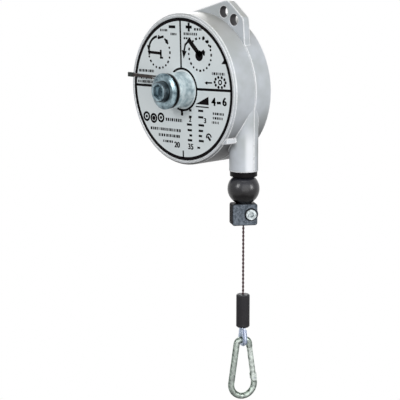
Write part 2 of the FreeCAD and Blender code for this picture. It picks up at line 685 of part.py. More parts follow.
def clamp_half(label, front):
    """One half shell: a plate swelled round the bolt, cable groove, seat for head or nut."""
    item = body(label)
    half, top = "clamp_width / 2", f"-({CLAMP_TOP} + end_play)"
    plate = [(f"-{half}", f"-{CLAMP_END}"), (half, f"-{CLAMP_END}"), (half, top),
             (f"-{half}", top)]
    start, thick = "clamp_gap" if front else "-clamp_gap", "clamp_thick - clamp_gap"
    pad(item, closed(sketch(item, "XZ_Plane", start), plate), thick, back=not front)
    round_edges(item, "clamp_corner", lambda e: e.BoundBox.XLength < 1e-3
                and e.BoundBox.ZLength < 1e-3)
    swell = disc(sketch(item, "XZ_Plane", start), "swell_radius", "bolt_offset", CLAMP_MIDDLE)
    pad(item, swell, thick, back=not front)
    face = "clamp_thick" if front else "-clamp_thick"
    face_edges = value("-" + face)
    round_edges(item, "clamp_bevel", lambda e: abs(e.BoundBox.YMin - face_edges) < 1e-3
                and e.BoundBox.YLength < 1e-3, "Chamfer")
    bolt = disc(sketch(item, "XZ_Plane"), "bolt_radius", "bolt_offset", CLAMP_MIDDLE)
    pocket(item, bolt, "clamp_thick + overrun", along=front)
    seat = sketch(item, "XZ_Plane", face)
    if front:
        disc(seat, "bolt_head_radius + head_room", "bolt_offset", CLAMP_MIDDLE)
        pocket(item, seat, "head_sunk")
    else:
        closed(seat, shifted(hexagon("nut_across"), "bolt_offset", CLAMP_MIDDLE))
        pocket(item, seat, "nut_sunk", along=True)
    groove = disc(sketch(item, "XY_Plane", f"-{CLAMP_END} - overrun"), "cable_radius")
    pocket(item, groove, "clamp_height + 2 * overrun", along=True)
    return on_cable(item, "clamp_angle")


def clamp_screw():
    """Cap screw from the front half to the end of the nut."""
    item = body("clamp_screw")
    seat = "clamp_thick - head_sunk"
    pad(item, disc(sketch(item, "XZ_Plane", seat), "bolt_head_radius", "bolt_offset",
                   CLAMP_MIDDLE), "bolt_head")
    shank = disc(sketch(item, "XZ_Plane", seat), "bolt_radius", "bolt_offset", CLAMP_MIDDLE)
    pad(item, shank, f"{seat} + clamp_thick - nut_sunk + nut_height + bolt_beyond", back=True)
    drive = closed(sketch(item, "XZ_Plane", f"{seat} + bolt_head"),
                   shifted(hexagon("bolt_socket"), "bolt_offset", CLAMP_MIDDLE))
    pocket(item, drive, "bolt_socket_depth")
    return on_cable(item, "clamp_angle")


def clamp_nut():
    item = body("clamp_nut")
    outline = closed(sketch(item, "XZ_Plane", "-(clamp_thick - nut_sunk)"),
                     shifted(hexagon("nut_across"), "bolt_offset", CLAMP_MIDDLE))
    disc(outline, "bolt_radius", "bolt_offset", CLAMP_MIDDLE)
    pad(item, outline, "nut_height", back=True)
    return on_cable(item, "clamp_angle")


def cable_sleeve():
    """Black sleeve over the ferrule and the tip of the thimble."""
    roof = f"-({SLEEVE_TOP} + sleeve_roof)"
    edge = "sleeve_radius - sleeve_bevel"
    return on_cable(turned("cable_sleeve", [
        ("cable_radius", f"-{SLEEVE_TOP}"), (edge, f"-{SLEEVE_TOP}"),
        ("sleeve_radius", f"-{SLEEVE_TOP} - sleeve_bevel"),
        ("sleeve_radius", f"-{SLEEVE_END} + sleeve_bevel"), (edge, f"-{SLEEVE_END}"),
        ("sleeve_bore", f"-{SLEEVE_END}"), ("sleeve_bore", roof), ("cable_radius", roof)]))


def cable_ferrule():
    top, grip = f"-{FERRULE_TOP}", f"-({FERRULE_TOP} + ferrule_grip)"
    bottom = f"-{FERRULE_END}"
    return on_cable(turned("cable_ferrule", [
        ("cable_radius", top), ("ferrule_radius", top), ("ferrule_radius", bottom),
        ("0", bottom), ("0", grip), ("cable_radius", grip)]))


# The eye: the cable leaves the ferrule leg_gap beside the middle and meets its circle about the
# eye at this angle from straight up.
LOOP_RADIUS = "(eye_radius + thimble_wall + cable_radius)"
LOOP_SPAN = "sqrt(leg_gap ^ 2 + loop_rise ^ 2)"
LOOP_ANGLE = f"(atan(leg_gap / loop_rise) + acos({LOOP_RADIUS} / {LOOP_SPAN}))"


def eye_spot(radius, along="0"):
    """A point of the eye's path: on its circle, then along the straight leg towards the cable."""
    return (f"{radius} * sin({LOOP_ANGLE}) - ({along}) * cos({LOOP_ANGLE})",
            f"{radius} * cos({LOOP_ANGLE}) + ({along}) * sin({LOOP_ANGLE}) - {EYE_DROP}")


def half_path(item, radius, leg):
    """Half the eye's path, from its lowest point up one side and along the leg."""
    reach = value(radius)
    low, meet, end = ("0", f"-{EYE_DROP} - {radius}"), eye_spot(radius), eye_spot(radius, leg)
    circle = Part.Circle(spot(("0", f"-{EYE_DROP}")), Vector(0, 0, 1), reach)
    arc = item.addGeometry(Part.ArcOfCircle(circle, radians(-90), radians(90 - value(LOOP_ANGLE))))
    line = item.addGeometry(Part.LineSegment(spot(meet), spot(end)))
    item.addConstraint(Sketcher.Constraint("Coincident", arc, 2, line, 1))
    number = item.addConstraint(Sketcher.Constraint("Radius", arc, reach))
    bind(item, f"Constraints[{number}]", radius)
    pin(item, arc, 1, low)
    pin(item, line, 1, meet)
    pin(item, line, 2, end)
    return item


def eye_half(label, path_radius, leg, section):
    """A section swept along half the eye's path and mirrored into the other half."""
    item = body(label)
    path = half_path(sketch(item, "YZ_Plane"), path_radius, leg)
    pipe = feature(item, "AdditivePipe", section(sketch(item, "XZ_Plane")))
    pipe.Spine = (path, ["Edge1", "Edge2"])
    twin = item.newObject("PartDesign::Mirrored", "twin")
    twin.Originals = [pipe]
    twin.MirrorPlane = (plane(item, "XZ_Plane"), [""])
    item.Tip = twin
    return on_cable(item, "hook_angle")


def thimble():
    """Pressed channel that lines the eye and carries the cable in its groove."""
    half, slot = "thimble_width / 2", "groove_width / 2"
    inside = f"-{EYE_DROP} - eye_radius"
    floor, lip = f"{inside} - thimble_wall", f"{inside} - thimble_lip"
    channel = [(f"-({half})", inside), (half, inside), (half, lip), (slot, floor),
               (f"-({slot})", floor), (f"-({half})", lip)]
    return eye_half("thimble", "eye_radius", "thimble_leg", lambda base: closed(base, channel))


def cable_loop():
    """Cable round the thimble and back into the ferrule."""
    low = f"-{EYE_DROP} - {LOOP_RADIUS}"
    leg = (f"{LOOP_SPAN} * sin(acos({LOOP_RADIUS} / {LOOP_SPAN}))"
           f" - cable_radius / tan({LOOP_ANGLE})")
    return eye_half("cable_loop", LOOP_RADIUS, leg,
                    lambda base: disc(base, "cable_radius", "0", low))


# ---------------------------------------------------------------- snap hook

# The hook's wire runs over a small crown and a wide bow, joined by straight flanks that lean
# outward by HOOK_LEAN.
CROWN_Z = f"({EYE_DROP} + eye_radius - hook_play - wire_radius)"
BOW_RADIUS = "(hook_width / 2 - wire_radius)"
BOW_Z = f"({CROWN_Z} - wire_radius + hook_length - wire_radius - {BOW_RADIUS})"
CROWN_CENTRE = f"({CROWN_Z} + crown_radius)"
FLANK_DROP = f"({BOW_Z} - {CROWN_CENTRE})"
HOOK_LEAN = (f"(asin(({BOW_RADIUS} - crown_radius) / sqrt({FLANK_DROP} ^ 2 + crown_half ^ 2))"
             f" - atan(crown_half / {FLANK_DROP}))")
FLANK_TOP = (f"(crown_half + crown_radius * cos({HOOK_LEAN}))",
             f"(crown_radius * sin({HOOK_LEAN}) - {CROWN_CENTRE})")
FLANK_END = (f"({BOW_RADIUS} * cos({HOOK_LEAN}))", f"({BOW_RADIUS} * sin({HOOK_LEAN}) - {BOW_Z})")


def on_flank(base, along, across="0"):
    """A point beside the right flank: along it upward, across it outward."""
    return (f"{base[0]} - ({along}) * sin({HOOK_LEAN}) + ({across}) * cos({HOOK_LEAN})",
            f"{base[1]} + ({along}) * cos({HOOK_LEAN}) + ({across}) * sin({HOOK_LEAN})")


PIVOT = on_flank(FLANK_END, "pivot_up")
GATE_LENGTH = (f"(sqrt(({FLANK_TOP[0]} - {FLANK_END[0]}) ^ 2 + ({FLANK_TOP[1]} - {FLANK_END[1]})"
               f" ^ 2) - pivot_up - nose_length - gate_gap)")


def trace(item, runs):
    """Pin a row of straight and round edges to their end points."""
    for start, end, shape in runs:
        if shape is None:
            edge = item.addGeometry(Part.LineSegment(spot(start), spot(end)))
        else:
            centre, radius, first, last = shape
            circle = Part.Circle(spot(centre), Vector(0, 0, 1), value(radius))
            edge = item.addGeometry(Part.ArcOfCircle(circle, radians(first), radians(last)))
            number = item.addConstraint(Sketcher.Constraint("Radius", edge, value(radius)))
            bind(item, f"Constraints[{number}]", radius)
        pin(item, edge, 1, start)
        pin(item, edge, 2, end)
    return item


def wire_pipe(item, runs):
    """Sweep the hook's round wire along a path that starts at the middle of the crown."""
    path = trace(sketch(item, "XZ_Plane"), runs)
    section = disc(sketch(item, "YZ_Plane"), "wire_radius", "0", f"-{CROWN_Z}")
    pipe = feature(item, "AdditivePipe", section)
    pipe.Spine = (path, [f"Edge{k + 1}" for k in range(len(runs))])


def carabiner_body():
    """Bent wire body of the snap hook: nose, crown, flank and bow, and a tongue for the gate."""
    item = body("carabiner_body")
    lean = value(HOOK_LEAN)
    top = ("0", f"-{CROWN_Z}")
    left_end, left_top = (f"-{FLANK_END[0]}", FLANK_END[1]), (f"-{FLANK_TOP[0]}", FLANK_TOP[1])
    crown_left, crown_right = ("-crown_half", f"-{CROWN_Z}"), ("crown_half", f"-{CROWN_Z}")
    over_left = (("-crown_half", f"-{CROWN_CENTRE}"), "crown_radius", 90, 180 - lean)
    over_right = (("crown_half", f"-{CROWN_CENTRE}"), "crown_radius", lean, 90)
    bow = (("0", f"-{BOW_Z}"), BOW_RADIUS, 180 - lean, 360 + lean)
    wire_pipe(item, [(top, crown_left, None), (crown_left, left_top, over_left),
                     (left_top, left_end, None), (left_end, FLANK_END, bow)])
    nose = on_flank(FLANK_TOP, "-nose_length")
    wire_pipe(item, [(top, crown_right, None), (FLANK_TOP, crown_right, over_right),
                     (FLANK_TOP, nose, None)])
    tongue = [on_flank(FLANK_END, "-tongue_root", "-tongue_half"),
              on_flank(FLANK_END, "-tongue_root", "tongue_half"),
              on_flank(FLANK_END, "pivot_up", "tongue_half"),
              on_flank(FLANK_END, "pivot_up", "-tongue_half")]
    pad(item, closed(sketch(item, "XZ_Plane", "-tongue_thick / 2"), tongue), "tongue_thick")
    pad(item, disc(sketch(item, "XZ_Plane", "-tongue_thick / 2"), "tongue_half", *PIVOT),
        "tongue_thick")
    pocket(item, disc(sketch(item, "XZ_Plane", "-wire_radius"), "rivet_radius", *PIVOT),
           "2 * wire_radius", along=True)
    return on_cable(item, "hook_angle")


CHEEK_OUT = "(tongue_thick / 2 + cheek_gap + cheek_thick)"


def gate_pin():
    item = body("gate_pin")
    outline = disc(sketch(item, "XZ_Plane", f"-{CHEEK_OUT}"), "rivet_radius", *PIVOT)
    pad(item, outline, f"2 * {CHEEK_OUT}")
    return on_cable(item, "hook_angle")


def flank_turned(item, corners, axis):
    """Turn a profile of (along, across) corners about the flank through the gate's pivot."""
    outline = closed(sketch(item, "XZ_Plane"), [on_flank(PIVOT, *corner) for corner in corners])
    turn = feature(item, "Revolution", outline)
    turn.ReferenceAxis = (outline, [axis])
    turn.Angle = 360
    return item


def carabiner_gate():
    """Round gate with two cheeks riveted over the tongue; it opens inward."""
    item = body("carabiner_gate")
    inside = "gate_start + gate_spring"
    flank_turned(item, [("gate_start", "gate_bore"), ("gate_start", "gate_radius"),
                        (GATE_LENGTH, "gate_radius"), (GATE_LENGTH, "0"), (inside, "0"),
                        (inside, "gate_bore")], "Edge4")
    for start in ("-tongue_thick / 2 - cheek_gap - cheek_thick", "tongue_thick / 2 + cheek_gap"):
        plate = [on_flank(PIVOT, "0", "-cheek_half"), on_flank(PIVOT, "0", "cheek_half"),
                 on_flank(PIVOT, "gate_start + cheek_sunk", "cheek_half"),
                 on_flank(PIVOT, "gate_start + cheek_sunk", "-cheek_half")]
        pad(item, closed(sketch(item, "XZ_Plane", start), plate), "cheek_thick")
        pad(item, disc(sketch(item, "XZ_Plane", start), "cheek_half", *PIVOT), "cheek_thick")
    hole = disc(sketch(item, "XZ_Plane", f"-{CHEEK_OUT} - overrun"), "rivet_radius + running_fit",
                *PIVOT)
    pocket(item, hole, f"2 * ({CHEEK_OUT} + overrun)", along=True)
    return on_cable(item, "hook_angle")


def gate_spring():
    """Closing spring in the gate's bore, pressing on the end of the tongue."""
    item = body("gate_spring")
    low, high, reach = "tongue_half + end_play", "gate_start + gate_spring", "gate_bore - coil_play"
    flank_turned(item, [(low, "0"), (low, reach), (high, reach), (high, "0")], "Edge4")
    return on_cable(item, "hook_angle")


NODES = [
    front_housing, rear_housing, label_plate, housing_screws, boss_collar, arbor, ratchet_wheel,
    adjuster_cap, pawl_pin, pawl_lever, lever_grip, pawl_spring, drum, drum_bush, spring_cover,
    cable_wound, cable_anchor, power_spring, cable_guide, cable_run, cable_tail, bumper_ball,
    clamp_screw, clamp_nut, cable_sleeve, cable_ferrule, thimble, cable_loop,
    carabiner_body, gate_pin, carabiner_gate, gate_spring,
]

nodes = [make() for make in NODES]
nodes += [clamp_half("clamp_front", True), clamp_half("clamp_rear", False)]
doc.recompute()

for item in doc.Objects:
    if set(item.State) & {"Invalid", "Error"}:
        raise RuntimeError(f"{item.Label} failed: {item.State}")
os.makedirs("parts", exist_ok=True)
for item in nodes:
    shape = item.Shape
    if shape.isNull() or not shape.isValid() or not shape.Solids:
        raise RuntimeError(f"{item.Label} is not a valid solid")
for item in nodes:
    item.Shape.exportStep(f"parts/{item.Label}.step")
    print(item.Label, len(item.Shape.Solids), round(item.Shape.Volume, 1))
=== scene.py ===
import json
import math
import random

import bmesh
import bpy
from mathutils import Matrix, Vector


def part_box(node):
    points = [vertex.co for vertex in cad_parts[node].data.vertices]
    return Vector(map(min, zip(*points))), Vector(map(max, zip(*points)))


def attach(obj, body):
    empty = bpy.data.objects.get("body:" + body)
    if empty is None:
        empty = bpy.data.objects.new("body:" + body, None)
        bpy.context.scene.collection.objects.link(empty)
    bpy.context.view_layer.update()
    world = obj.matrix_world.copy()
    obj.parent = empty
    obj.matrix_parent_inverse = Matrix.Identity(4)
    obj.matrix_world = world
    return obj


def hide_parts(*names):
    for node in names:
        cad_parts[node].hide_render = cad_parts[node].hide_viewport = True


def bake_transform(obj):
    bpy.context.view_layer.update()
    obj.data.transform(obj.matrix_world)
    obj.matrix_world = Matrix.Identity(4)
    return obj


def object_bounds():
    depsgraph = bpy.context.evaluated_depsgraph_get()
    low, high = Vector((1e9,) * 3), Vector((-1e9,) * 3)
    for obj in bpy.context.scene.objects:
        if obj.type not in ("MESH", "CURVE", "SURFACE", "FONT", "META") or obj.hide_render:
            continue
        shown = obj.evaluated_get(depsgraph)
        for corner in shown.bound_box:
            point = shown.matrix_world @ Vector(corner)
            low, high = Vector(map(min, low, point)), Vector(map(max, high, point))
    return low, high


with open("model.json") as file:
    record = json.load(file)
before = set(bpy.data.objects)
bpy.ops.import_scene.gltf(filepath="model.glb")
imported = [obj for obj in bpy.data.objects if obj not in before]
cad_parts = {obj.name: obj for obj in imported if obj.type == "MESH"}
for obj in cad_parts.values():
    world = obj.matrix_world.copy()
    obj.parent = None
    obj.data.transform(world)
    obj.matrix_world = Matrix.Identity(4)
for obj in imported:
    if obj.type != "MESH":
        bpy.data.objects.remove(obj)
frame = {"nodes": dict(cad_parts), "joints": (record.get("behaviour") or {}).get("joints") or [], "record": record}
cad_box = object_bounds()

MM = 0.001
NODES = frame["nodes"]
MOUNTS = {mount["name"]: mount for mount in frame["record"]["mounts"]}
JOINTS = {joint["name"]: joint for joint in frame["joints"]}
UP = Vector((0, 0, 1))


def lowest(node):
    """The corner of a node's box with the least x, y and z."""
    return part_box(node)[0]


def highest(node):
    """The corner of a node's box with the greatest x, y and z."""
    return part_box(node)[1]


def middle(node):
    """The middle of a node's box."""
    low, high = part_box(node)
    return (low + high) / 2


def heading(turn, rise=0):
    """The way that lies turn degrees round from the front, which is -y, and rise degrees up."""
    turn, rise = math.radians(turn), math.radians(rise)
    return Vector((math.sin(turn) * math.cos(rise), -math.cos(turn) * math.cos(rise),
                   math.sin(rise)))


# Where the finishes change over a piece. The turns are in degrees, as in heading.
drum_axis = middle("drum_bush")
KNOB_GAP = Vector((drum_axis.x, (highest("adjuster_cap").y + lowest("boss_collar").y) / 2,
                   drum_axis.z))
# The painted shade reaches this far to either side of the knob's gap, and lies round the hub at this radius.
GAP_SHADE = 2.3 * MM
HUB_FOOT_RADIUS = 12.6 * MM
# The lug's holes get painted shade on their walls.
LUG_HOLES = ("suspension_hole", "second_suspension_hole")
# The outlet tube below this height, fading in over this length, gets a painted highlight on its side turned one
# way and painted shade on the side turned the other.
TUBE_TOP, TUBE_FADE = -125 * MM, 30 * MM
TUBE_OUTER, TUBE_BEHIND = heading(74), heading(136)
# The clamp keeps its grey on faces turned this way and the opposite; painted shade lies round the bolt out to this
# radius.
CLAMP_TURN = 58
BOLT_SEAT_RADIUS = 7.4 * MM
# The hook's faces turned this way and the opposite get a painted highlight.
HOOK_FACE = heading(50)


# ---------------------------------------------------------------- shader arithmetic

class Tone:
    """A value that varies over a surface; arithmetic on it adds Math nodes."""

    def __init__(self, finish, socket):
        self.finish, self.socket = finish, socket

    def math(self, operation, *values):
        """A Math node fed with values in their order."""
        inputs = dict(enumerate(values))
        return self.finish.add("ShaderNodeMath", {"operation": operation}, inputs)

    def __add__(self, other):
        return self.math("ADD", self, other)

    def __radd__(self, other):
        return self.math("ADD", other, self)

    def __sub__(self, other):
        return self.math("SUBTRACT", self, other)

    def __rsub__(self, other):
        return self.math("SUBTRACT", other, self)

    def __mul__(self, other):
        return self.math("MULTIPLY", self, other)

    def __rmul__(self, other):
        return self.math("MULTIPLY", other, self)

    def __neg__(self):
        return 0 - self

    def __abs__(self):
        return self.math("ABSOLUTE", self)

    def root(self):
        return self.math("SQRT", self)

    def clamp(self):
        """No less than 0 and no more than 1."""
        return self.math("MINIMUM", self.math("MAXIMUM", self, 0), 1)

    def step(self, low, high):
        """0 below low, 1 above high, and a smooth rise between."""
        return self.finish.add("ShaderNodeMapRange", {"interpolation_type": "SMOOTHSTEP"},
                               {"Value": self, "From Min": low, "From Max": high})


class Finish:
    """A material being built on one Principled shader."""

    def __init__(self, name, **constants):
        self.material = bpy.data.materials.new(name)
        self.material.use_nodes = True
        self.tree = self.material.node_tree
        self.shader = self.tree.nodes["Principled BSDF"]
        for socket, value in constants.items():
            self.set(socket.replace("_", " ").title().replace("Ior", "IOR"), value)

    def add(self, kind, settings=None, inputs=None, output=0):
        """Any node: its settings first, then the values or links of its sockets."""
        node = self.tree.nodes.new(kind)
        for name, value in (settings or {}).items():
            setattr(node, name, value)
        for key, value in (inputs or {}).items():
            self.feed(node.inputs[key], value)
        return Tone(self, node.outputs[output]) if node.outputs else None

    def feed(self, socket, value):
        if isinstance(value, Tone):
            self.tree.links.new(value.socket, socket)
        else:
            socket.default_value = value

    def set(self, socket, value):
        self.feed(self.shader.inputs[socket], value)

    def place(self):
        """Where a point lies, in metres, in the part's own frame."""
        return self.add("ShaderNodeTexCoord", output="Object")

    def parts(self, vector):
        """The x, y and z of a vector."""
        split = self.add("ShaderNodeSeparateXYZ", None, {0: vector}).socket.node
        return [Tone(self, socket) for socket in split.outputs]

    def from_point(self, point, turn=0):
        """The place measured from a point, with the axes turned by degrees about z."""
        return self.add("ShaderNodeMapping", {"vector_type": "TEXTURE"}, {
            "Vector": self.place(), "Location": point, "Rotation": (0, 0, math.radians(turn))})

    def off_axis(self, point, turn=0):
        """Distance from the line along y through a point, with that line turned about z."""
        x, y, z = self.parts(self.from_point(point, turn))
        return (x * x + z * z).root()

    def noise(self, size, detail=3, rough=0.5):
        """Cloudy noise whose features are about size metres across."""
        return self.add("ShaderNodeTexNoise", None, {
            "Vector": self.place(), "Scale": 1 / size, "Detail": detail, "Roughness": rough})

    def mix(self, factor, first, second):
        """A colour between two colours."""
        return self.add("ShaderNodeMix", {"data_type": "RGBA"}, {0: factor, 6: first, 7: second},
                        output=2)

    def dot(self, first, second):
        """How far two ways agree, from -1 to 1."""
        return self.add("ShaderNodeVectorMath", {"operation": "DOT_PRODUCT"},
                        {0: first, 1: second}, output="Value")

    def normal(self):
        """The true normal of the surface."""
        return self.add("ShaderNodeNewGeometry", output="Normal")

    def facing(self, way):
        """How far the surface faces a given way, from -1 to 1."""
        return self.dot(self.normal(), way)

    def soft_edges(self, radius):
        """The normal of the surface with its edges rounded."""
        return self.add("ShaderNodeBevel", {"samples": 6}, {"Radius": radius})

    def sharpness(self, softened):
        """How far a rounded normal turns from the true one: 0 on flats, more on edges."""
        return 1 - self.dot(softened, self.normal())

    def bump(self, height, depth, strength=1.0, normal=None):
        """Relief depth metres high, over an optional rounded normal."""
        inputs = {"Height": height, "Distance": depth, "Strength": strength}
        if normal:
            inputs["Normal"] = normal
        self.set("Normal", self.add("ShaderNodeBump", None, inputs))


def srgb(red, green, blue):
    """The shader's colour for screen values from 0 to 255."""
    def linear(level):
        level /= 255
        return level / 12.92 if level <= 0.04045 else ((level + 0.055) / 1.055) ** 2.4
    return (linear(red), linear(green), linear(blue), 1)


def dress(material, *nodes):
    """Gives one finish to CAD nodes."""
    for name in nodes:
        mesh = NODES[name].data
        mesh.materials.clear()
        mesh.materials.append(material)


# ---------------------------------------------------------------- finishes

def cast_paint():
    """Silver paint on the casting: a painted highlight along its edges, with chips, a darker and warmer tone on
    what faces up, and painted shade below and in the lug's holes.

    The outlet tube has a painted highlight down its outer side and painted shade behind.
    """
    dull_silver, silver = srgb(170, 175, 177), srgb(190, 195, 202)
    # A darker, warmer tone for what faces up; painted shade for what faces down and for the lug's holes.
    top_tone, painted_underside_shade, painted_hole_shade = srgb(160, 158, 151), srgb(48, 40, 36), srgb(26, 16, 24)
    # The outlet tube's painted highlight and painted shade.
    painted_light, painted_shade = srgb(246, 248, 252), srgb(98, 104, 104)
    # The painted highlight along edges, and chips in the paint.
    painted_edge_highlight, chipped = srgb(252, 253, 255), srgb(110, 110, 106)

    finish = Finish("cast_paint", metallic=0.06, specular_ior_level=0.4)
    grain = finish.noise(0.9 * MM, 4, 0.6)
    tint = finish.mix(finish.noise(38 * MM).step(0.35, 0.7), dull_silver, silver)
    upward = finish.facing(UP)
    # A darker, warmer tone on what faces up.
    tint = finish.mix(upward.step(0.45, 0.95) * 0.7, tint, top_tone)
    # Painted shade on what faces down.
    tint = finish.mix((-upward).step(0.1, 0.8) * 0.85, tint, painted_underside_shade)

    down_tube = TUBE_TOP - finish.parts(finish.place())[2]
    tube = down_tube.step(0, TUBE_FADE)
    outer = finish.facing(TUBE_OUTER).step(0.88, 1)
    behind = finish.facing(TUBE_BEHIND).step(0.82, 1)
    # Painted highlight down the tube's outer side, painted shade on its side behind.
    tint = finish.mix(tube * outer * 0.65, tint, painted_light)
    tint = finish.mix(tube * behind * 0.75, tint, painted_shade)

    softened = finish.soft_edges(2.4 * MM)
    # Along edges: a painted highlight, with chips of real wear in it.
    wear_and_highlight = finish.sharpness(softened).step(0.003, 0.05)
    chips = finish.noise(2.2 * MM, 3, 0.7).step(0.54, 0.66)
    tint = finish.mix(wear_and_highlight * 0.95, tint, painted_edge_highlight)
    tint = finish.mix(wear_and_highlight * chips * 0.55, tint, chipped)

    # Painted shade inside the lug's holes.
    for name in LUG_HOLES:
        bore = MOUNTS[name]["dims"]["r_mm"] * MM
        outside = finish.off_axis(MOUNTS[name]["pos_m"]).step(bore, bore + 0.7 * MM)
        tint = finish.mix((1 - outside) * 0.93, tint, painted_hole_shade)
    finish.set("Base Color", tint)
    finish.set("Roughness", 0.34 + grain * 0.12)
    finish.bump(grain, 0.05 * MM, normal=softened)
    return finish.material


def printed_plate():
    """The label's sheet: pale lacquered metal, faintly clouded."""
    finish = Finish("printed_plate", metallic=0.1)
    grain = finish.noise(0.5 * MM, 2)
    cloud = finish.noise(30 * MM)
    finish.set("Base Color", finish.mix(cloud, srgb(208, 216, 219), srgb(220, 226, 227)))
    finish.set("Roughness", 0.42 + grain * 0.1)
    finish.bump(grain, 0.01 * MM)
    return finish.material


def print_ink():
    """Black ink, worn thin in spots."""
    finish = Finish("print_ink", specular_ior_level=0.06)
    wear = finish.noise(1.4 * MM).step(0.66, 0.8)
    finish.set("Base Color", finish.mix(wear * 0.25, srgb(6, 3, 5), srgb(60, 50, 50)))
    finish.set("Roughness", 0.6 + wear * 0.2)
    return finish.material


def turned_zinc(name, tint, shade, rough, metallic):
    """Zinc-plated turning: rings about its axis, a clouded coat, and painted shade in the gap between cap and
    collar and in a band round the hub.
    """
    face_rings, side_rings = 2500, 1800  # tool marks in a metre
    # The colour of the painted shade.
    painted_knob_shade = srgb(24, 28, 32)

    finish = Finish(name, metallic=metallic)
    along = finish.parts(finish.from_point(KNOB_GAP))[1]
    reach = finish.off_axis(KNOB_GAP)
    # Painted shade in the gap between cap and collar, and in a band round the hub.
    gap = 1 - abs(along).step(GAP_SHADE, 1.7 * GAP_SHADE)
    foot = 1 - abs(reach - HUB_FOOT_RADIUS).step(0.6 * MM, 1.6 * MM)
    rings = finish.add("ShaderNodeTexNoise", {"noise_dimensions": "1D"},
                       {"W": reach * face_rings + along * side_rings, "Detail": 3.0})
    cloud = finish.noise(9 * MM, 4, 0.6)
    tint = finish.mix(cloud.step(0.3, 0.7), shade, tint)
    finish.set("Base Color", finish.mix((gap + foot * 0.8).clamp(), tint, painted_knob_shade))
    finish.set("Roughness", rough + cloud * 0.15)
    finish.bump(rings, 0.02 * MM, 0.6, finish.soft_edges(0.35 * MM))
    return finish.material


def plated(name, tint, shade, rough=0.32, metallic=0.85, blotch=4 * MM):
    """Plated or bare metal with a clouded surface."""
    finish = Finish(name, metallic=metallic)
    cloud = finish.noise(blotch, 4, 0.65)
    finish.set("Base Color", finish.mix(cloud.step(0.32, 0.68), shade, tint))
    finish.set("Roughness", rough + cloud * 0.18)
    finish.bump(finish.noise(0.4 * MM), 0.015 * MM, 0.7, finish.soft_edges(0.3 * MM))
    return finish.material


def hook_zinc(name, tint, shade, painted_highlight_share):
    """Zinc on bent wire, clouded, with a painted highlight on its two faces."""
    # The colour of the painted highlight.
    painted_light = srgb(240, 246, 242)

    finish = Finish(name, metallic=0.7)
    cloud = finish.noise(3.5 * MM, 4, 0.65)
    across = finish.facing(HOOK_FACE)
    # The two faces take the painted highlight; the sides keep the clouded zinc.
    faces = (across * across).step(0.45, 0.95)
    tint = finish.mix(cloud.step(0.32, 0.68), shade, tint)
    finish.set("Base Color", finish.mix(faces * painted_highlight_share, tint, painted_light))
    finish.set("Roughness", 0.24 + cloud * 0.18)
    finish.bump(finish.noise(0.4 * MM), 0.02 * MM, 0.7, finish.soft_edges(0.3 * MM))
    return finish.material


def moulded(name, tint, wear_and_highlight, rough, sheen=0.3):
    """Moulded rubber or plastic with a fine matt grain, scuffs, and on what looks up a paler tone that is dust and
    a painted sheen.
    """
    finish = Finish(name, specular_ior_level=sheen)
    scuff = finish.noise(6 * MM, 5, 0.7).step(0.58, 0.8)
    fine = finish.noise(0.35 * MM)
    # Paler in patches on what looks up: dust and a painted sheen.
    top_tone = finish.facing(UP).step(-0.3, 0.5) * finish.noise(14 * MM, 2).step(0.1, 0.6)
    tint = finish.mix(top_tone * 0.2, tint, wear_and_highlight)
    finish.set("Base Color", finish.mix(scuff * 0.3, tint, wear_and_highlight))
    finish.set("Roughness", rough + scuff * 0.12 + fine * 0.05)
    finish.bump(fine, 0.02 * MM, 0.8, finish.soft_edges(0.5 * MM))
    return finish.material


def clamp_casting(turn, bolt):
    """Grey clamp halves with painted shade in black on all but their two faces and in a ring round the bolt; the
    faces' edges are brightened by wear and a painted highlight.
    """
    # Black for the painted shade, greys for the faces, and a paler colour for edges brightened by wear and a
    # painted highlight.
    black, dull_grey, grey = srgb(8, 6, 8), srgb(74, 82, 90), srgb(120, 128, 138)
    bright_edge = srgb(140, 148, 154)

    finish = Finish("clamp_casting", specular_ior_level=0.03)
    cloud = finish.noise(3 * MM, 4, 0.65)
    across = finish.facing(heading(turn))
    off_seat = finish.off_axis(bolt, turn).step(BOLT_SEAT_RADIUS, BOLT_SEAT_RADIUS + 1.6 * MM)
    # The faces keep their grey; the sides and the ring round the bolt take painted shade.
    painted_light = (across * across).step(0.3, 0.9) * off_seat
    softened = finish.soft_edges(0.5 * MM)
    wear_and_highlight = finish.sharpness(softened).step(0.02, 0.2) * painted_light * 0.5
    tint = finish.mix(painted_light, black, finish.mix(cloud.step(0.35, 0.65), dull_grey, grey))
    finish.set("Base Color", finish.mix(wear_and_highlight, tint, bright_edge))
    finish.set("Roughness", 0.45 + cloud * 0.15)
    finish.bump(finish.noise(0.5 * MM), 0.03 * MM, 0.8, softened)
    return finish.material


def strand_steel():
    """Galvanised strands, brown with grease, darker down in the lay: grease and painted shade."""
    grease_and_shade, strand = srgb(24, 12, 16), srgb(88, 66, 68)

    finish = Finish("strand_steel", specular_ior_level=0.2)
    depth = finish.add("ShaderNodeAttribute", {"attribute_name": "lay_depth"}, output="Fac")
    wires = finish.noise(0.25 * MM, 2)
    # Down in the lay: grease and painted shade.
    crest = depth.step(0.3, 0.75)
    finish.set("Base Color", finish.mix(crest, grease_and_shade, strand))
    finish.set("Roughness", 0.5 - crest * 0.1 + wires * 0.1)
    finish.bump(wires, 0.03 * MM, 0.8)
    return finish.material


# ---------------------------------------------------------------- shapes

def new_piece(name, mesh_maker, material, body):
    """A mesh piece made by mesh_maker(bmesh), with its material, riding on a body if given."""
    made = bmesh.new()
    mesh_maker(made)
    mesh = bpy.data.meshes.new(name)
    made.to_mesh(mesh)
    made.free()
    mesh.materials.append(material)
    piece = bpy.data.objects.new(name, mesh)
    bpy.context.scene.collection.objects.link(piece)
    if body:
        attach(piece, body)
    return piece


def smooth(piece):
    """Shades a piece as one curved surface."""
    for face in piece.data.polygons:
        face.use_smooth = True
    return piece


# ---------------------------------------------------------------- printed label

